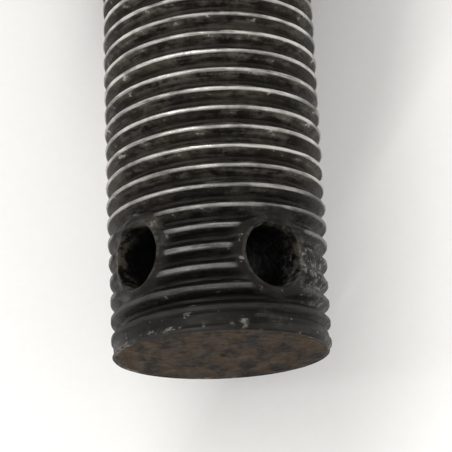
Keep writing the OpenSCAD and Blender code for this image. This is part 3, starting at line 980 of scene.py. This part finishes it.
def nut_black():
    """Black oxide, worn in places on its corners and rims, with fine scratches."""
    f = Finish("worn_black_oxide", Metallic=0.9, Coat_Roughness=0.2)
    r = shank_radius(f)
    patches = f.noise(2.6 * MM, 4, 0.6)
    grains = f.noise(0.3 * MM, 3, 0.6)
    scratches = f.noise(0.35 * MM, 4, 0.65, f.vector(f.x * 0.12, f.y, f.z * 0.12))
    worn = r.step(13.0 * MM, 13.75 * MM) * patches.step(0.47, 0.66) * 0.55
    worn = worn + scratches.step(0.66, 0.75) * 0.35
    base = f.mix(patches, (0.022, 0.021, 0.021), (0.060, 0.055, 0.050))
    f.set("Base Color", f.mix(worn * 0.8, base, (0.55, 0.53, 0.50)))
    f.set("Roughness", 0.34 + grains * 0.14 + patches * 0.12 - worn * 0.1)
    f.set("Coat Weight", patches.step(0.4, 0.7) * 0.2)
    f.bump(grains * 0.6 + scratches * 0.4, 0.03 * MM, 0.6)
    return f.material


def ball_chrome():
    """Polished hard chrome, with faint lapping marks and patches of grease film."""
    f = Finish("polished_ball_steel", Metallic=1.0)
    lapping = f.noise(0.22 * MM, 3, 0.6, f.vector(f.x * 0.25, f.y * 0.25, f.z * 1.0))
    film = f.noise(4 * MM, 4, 0.6).step(0.42, 0.7)
    base = f.mix(film * 0.35, (0.78, 0.78, 0.79), (0.50, 0.44, 0.34))
    f.set("Base Color", base)
    f.set("Roughness", 0.07 + lapping * 0.09 + film * 0.16)
    f.bump(lapping, 0.008 * MM, 0.5)
    return f.material


def ring_steel():
    """Ground and phosphated bearing steel."""
    f = Finish("phosphated_ring_steel", Metallic=0.95)
    r = (f.x * f.x + f.y * f.y) ** 0.5
    turned = f.noise(0.16 * MM, 3, 0.6, f.vector(r, f.z, 0.0))
    patches = f.noise(2.4 * MM, 4, 0.6)
    f.set("Base Color", f.mix(patches, (0.20, 0.20, 0.205), (0.36, 0.355, 0.35)))
    f.set("Roughness", 0.30 + turned * 0.2 + patches * 0.12)
    f.bump(turned, 0.015 * MM, 0.6)
    return f.material


def seal_rubber():
    """Matt black rubber with a little dust."""
    f = Finish("nitrile_rubber", Specular_IOR_Level=0.4)
    dust = f.noise(1.6 * MM, 4, 0.6).step(0.45, 0.75)
    grains = f.noise(0.2 * MM, 2, 0.5)
    f.set("Base Color", f.mix(dust * 0.6, (0.014, 0.014, 0.015), (0.055, 0.050, 0.044)))
    f.set("Roughness", 0.50 + grains * 0.15 + dust * 0.15)
    f.bump(grains, 0.02 * MM, 0.5)
    return f.material


def spring_steel():
    """Oiled, blued spring steel with a fine grain."""
    f = Finish("blued_spring_steel", Metallic=0.95, Coat_Roughness=0.2)
    patches = f.noise(1.8 * MM, 4, 0.6)
    grain = f.noise(0.14 * MM, 3, 0.6)
    f.set("Base Color", f.mix(patches, (0.085, 0.080, 0.078), (0.22, 0.20, 0.185)))
    f.set("Roughness", 0.28 + grain * 0.22)
    f.bump(grain, 0.01 * MM, 0.5)
    return f.material


def zinc_plate():
    """Yellowed zinc plate, clouded and faintly iridescent."""
    f = Finish("yellow_zinc_plate", Metallic=1.0)
    cloud = f.noise(1.7 * MM, 4, 0.6)
    grain = f.noise(0.15 * MM, 3, 0.6)
    tint = f.mix(cloud.step(0.35, 0.7), (0.66, 0.60, 0.46), (0.55, 0.43, 0.24))
    f.set("Base Color", f.mix(cloud.step(0.6, 0.8) * 0.5, tint, (0.48, 0.36, 0.34)))
    f.set("Roughness", 0.22 + grain * 0.18 + cloud * 0.12)
    f.bump(grain, 0.012 * MM, 0.5)
    return f.material


def paper():
    """The pale card that the part lies on."""
    f = Finish("white_card", Specular_IOR_Level=0.3)
    fibre = f.noise(0.6 * MM, 4, 0.6)
    f.set("Base Color", f.mix(fibre, (0.80, 0.795, 0.785), (0.84, 0.835, 0.825)))
    f.set("Roughness", 0.75 + fibre * 0.1)
    return f.material


# ---- Pieces, their bodies and their finishes ----


def add(piece, body, node, material):
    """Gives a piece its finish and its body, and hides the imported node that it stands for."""
    piece.data.materials.clear()
    piece.data.materials.append(material)
    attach(piece, body)
    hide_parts(node)
    return piece


add(make_rod_body(), "eye", "rod_body", black_oxide_shank())
add(make_outer_ring(), "ring", "outer_ring", ring_steel())
rubber = seal_rubber()
add(make_seal("seal_front_lips", 1), "ring", "seal_front", rubber)
add(make_seal("seal_rear_lips", -1), "ring", "seal_rear", rubber)
spring_finish = spring_steel()
add(make_circlip("circlip_front_band", 1), "eye", "circlip_front", spring_finish)
add(make_circlip("circlip_rear_band", -1), "eye", "circlip_rear", spring_finish)
chrome = ball_chrome()
add(make_swivel_ball(), "ball", "swivel_ball", chrome)
add(make_grease_nipple(), "eye", "grease_nipple", zinc_plate())
add(make_check_ball(), "valve_ball", "check_ball", chrome)
check_spring = add(make_check_spring(), "eye", "check_spring", spring_finish)
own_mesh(check_spring)
blackened = nut_black()
add(make_lock_washer(), "washer", "lock_washer", blackened)
add(make_jam_nut(), "nut", "jam_nut", blackened)


# ---- Stage ----


def area_light(name, place_at, aim, size, power, colour):
    """A rectangular light at a place, turned towards another."""
    data = bpy.data.lights.new(name, "AREA")
    data.shape = "RECTANGLE"
    data.size, data.size_y = size
    data.energy = power
    data.color = colour
    light = bpy.data.objects.new(name, data)
    bpy.context.scene.collection.objects.link(light)
    light.location = place_at
    light.rotation_mode = "QUATERNION"
    light.rotation_quaternion = (Vector(aim) - Vector(place_at)).to_track_quat("-Z", "Y")


def make_floor():
    """A wide card under the lowest point of the imported model."""
    low, reach = cad_low.z, 3
    corners = [(-reach, -reach, low), (reach, -reach, low), (reach, reach, low), (-reach, reach, low)]
    floor = piece_from("floor", corners, [(0, 1, 2, 3)])
    floor.data.materials.append(paper())


def make_camera():
    """Looks down on the last turns of the shank, leaning towards its end face, with a slight roll."""
    lens, sensor = 125.2832, 36.0
    distance = 14.334 * thread_r
    lean, roll = 0.3078, -0.0439
    target = Vector((0.0856 * thread_r, tip_y + 1.2225 * thread_r, 0))
    back = Vector((0, -math.sin(lean), math.cos(lean)))
    up = Vector((0, math.cos(lean), math.sin(lean)))
    side = Vector((1, 0, 0))
    right = side * math.cos(roll) + up * math.sin(roll)
    top = up * math.cos(roll) - side * math.sin(roll)
    data = bpy.data.cameras.new("camera")
    data.lens = lens
    data.sensor_width = sensor
    data.clip_start, data.clip_end = 0.005, 10
    camera = bpy.data.objects.new("camera", data)
    bpy.context.scene.collection.objects.link(camera)
    camera.rotation_mode = "QUATERNION"
    camera.rotation_quaternion = Matrix((right, top, back)).transposed().to_quaternion()
    camera.location = target + back * distance
    bpy.context.scene.camera = camera


def make_light():
    """An even room, and one long narrow window high on the left."""
    world = bpy.data.worlds.new("room")
    world.use_nodes = True
    background = world.node_tree.nodes["Background"]
    background.inputs["Color"].default_value = (1, 0.99, 0.975, 1)
    background.inputs["Strength"].default_value = 1.0
    bpy.context.scene.world = world
    window_at, shank_middle = (-0.18, 0.07, 0.40), (0, -0.05, 0)
    window_size, window_watts = (0.6, 0.009), 1.2
    area_light("window", window_at, shank_middle, window_size, window_watts, (1.0, 0.995, 0.985))


make_floor()
make_light()
make_camera()
bpy.context.scene.view_settings.view_transform = "Standard"
